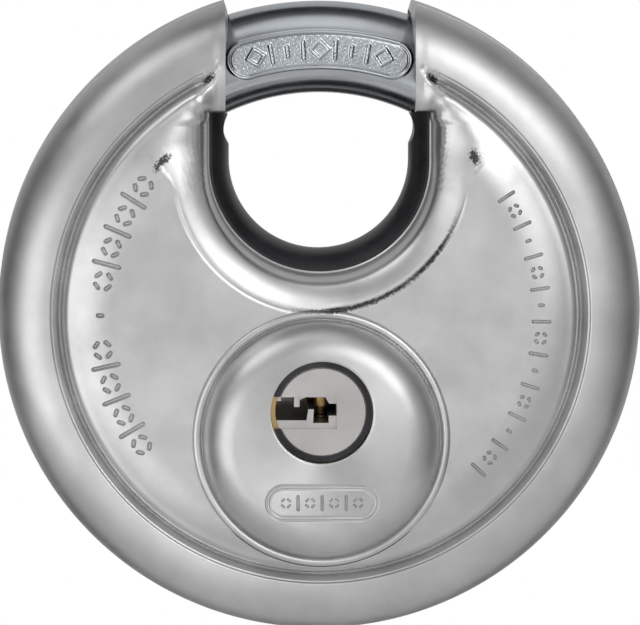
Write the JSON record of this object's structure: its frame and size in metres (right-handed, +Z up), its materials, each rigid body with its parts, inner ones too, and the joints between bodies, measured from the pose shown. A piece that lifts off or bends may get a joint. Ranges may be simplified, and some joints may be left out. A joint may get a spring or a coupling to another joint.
{
  "type": "disc padlock",
  "caption": "Round pressed-steel padlock whose round shackle bar slides along the rim, with a raised cylinder boss and a lined throat.",
  "frame": {"origin": "centreline of the shackle bar, in the middle of its exposed span", "axes": "+Z up, from the case towards the shackle; -Y is the front, where the key goes in; +X to the right seen from the front; the disc axis is parallel to Y"},
  "size_m": [0.07, 0.027, 0.0686],
  "materials": {
    "case_steel": "satin",
    "shackle_plate": "polished",
    "liner_black": "satin gloss",
    "plug_nickel": "satin",
    "brass": "machined",
    "guard_dark": "blackened",
    "zinc": "die cast",
    "hard_steel": "ground",
    "spring_steel": "drawn wire"
  },
  "bodies": {
    "case": {"front_shell": "case_steel", "rear_shell": "case_steel", "throat_liner": "liner_black", "lock_frame": "zinc", "stop_pin": "hard_steel", "guard_ring": "guard_dark", "cylinder_housing": "brass", "chamber_cover": "brass", "drill_plate": "hard_steel", "drill_pin_1": "hard_steel", "drill_pin_2": "hard_steel", "frame_screw_1": "hard_steel", "frame_screw_2": "hard_steel", "frame_stud_1": "hard_steel", "frame_stud_2": "hard_steel", "frame_stud_3": "hard_steel", "frame_stud_4": "hard_steel", "driver_spring_1": "spring_steel", "driver_spring_2": "spring_steel", "driver_spring_3": "spring_steel", "driver_spring_4": "spring_steel", "driver_spring_5": "spring_steel"},
    "shackle": {"shackle": "shackle_plate", "toothed_sector": "hard_steel"},
    "plug": {"plug": "plug_nickel", "drive_gear": "hard_steel", "retaining_ring": "spring_steel"},
    "key_pin_1": {"key_pin_1": "brass"},
    "driver_1": {"driver_pin_1": "hard_steel"},
    "key_pin_2": {"key_pin_2": "brass"},
    "driver_2": {"driver_pin_2": "hard_steel"},
    "key_pin_3": {"key_pin_3": "brass"},
    "driver_3": {"driver_pin_3": "hard_steel"},
    "key_pin_4": {"key_pin_4": "brass"},
    "driver_4": {"driver_pin_4": "hard_steel"},
    "key_pin_5": {"key_pin_5": "brass"},
    "driver_5": {"driver_pin_5": "hard_steel"}
  },
  "joints": [
    {"name": "shackle_turn", "type": "hinge", "parent": "case", "child": "shackle", "pos_m": [0, 0, -0.0285], "axis": [0, 1, 0], "range_deg": [0, 57]},
    {"name": "plug_turn", "type": "hinge", "parent": "case", "child": "plug", "pos_m": [0, 0, -0.0385], "axis": [0, 1, 0], "range_deg": [0, 112]},
    {"name": "key_pin_1_drop", "type": "slide", "parent": "plug", "child": "key_pin_1", "axis": [0, 0, -1], "range_m": [0, 0.00033]},
    {"name": "key_pin_2_drop", "type": "slide", "parent": "plug", "child": "key_pin_2", "axis": [0, 0, -1], "range_m": [0, 0.00118]},
    {"name": "key_pin_3_drop", "type": "slide", "parent": "plug", "child": "key_pin_3", "axis": [0, 0, -1], "range_m": [0, 0.00068]},
    {"name": "key_pin_4_drop", "type": "slide", "parent": "plug", "child": "key_pin_4", "axis": [0, 0, -1], "range_m": [0, 0.00148]},
    {"name": "key_pin_5_drop", "type": "slide", "parent": "plug", "child": "key_pin_5", "axis": [0, 0, -1], "range_m": [0, 0.00093]},
    {"name": "driver_1_lift", "type": "slide", "parent": "case", "child": "driver_1", "axis": [0, 0, 1], "range_m": [0, 0.0012], "stiffness_N_per_m": 150, "deforming": ["driver_spring_1"]},
    {"name": "driver_2_lift", "type": "slide", "parent": "case", "child": "driver_2", "axis": [0, 0, 1], "range_m": [0, 0.0012], "stiffness_N_per_m": 150, "deforming": ["driver_spring_2"]},
    {"name": "driver_3_lift", "type": "slide", "parent": "case", "child": "driver_3", "axis": [0, 0, 1], "range_m": [0, 0.0012], "stiffness_N_per_m": 150, "deforming": ["driver_spring_3"]},
    {"name": "driver_4_lift", "type": "slide", "parent": "case", "child": "driver_4", "axis": [0, 0, 1], "range_m": [0, 0.0012], "stiffness_N_per_m": 150, "deforming": ["driver_spring_4"]},
    {"name": "driver_5_lift", "type": "slide", "parent": "case", "child": "driver_5", "axis": [0, 0, 1], "range_m": [0, 0.0012], "stiffness_N_per_m": 150, "deforming": ["driver_spring_5"]}
  ],
  "couplings": [
    {"joint": "plug_turn", "follows": "shackle_turn", "ratio": 1.9524}
  ]
}
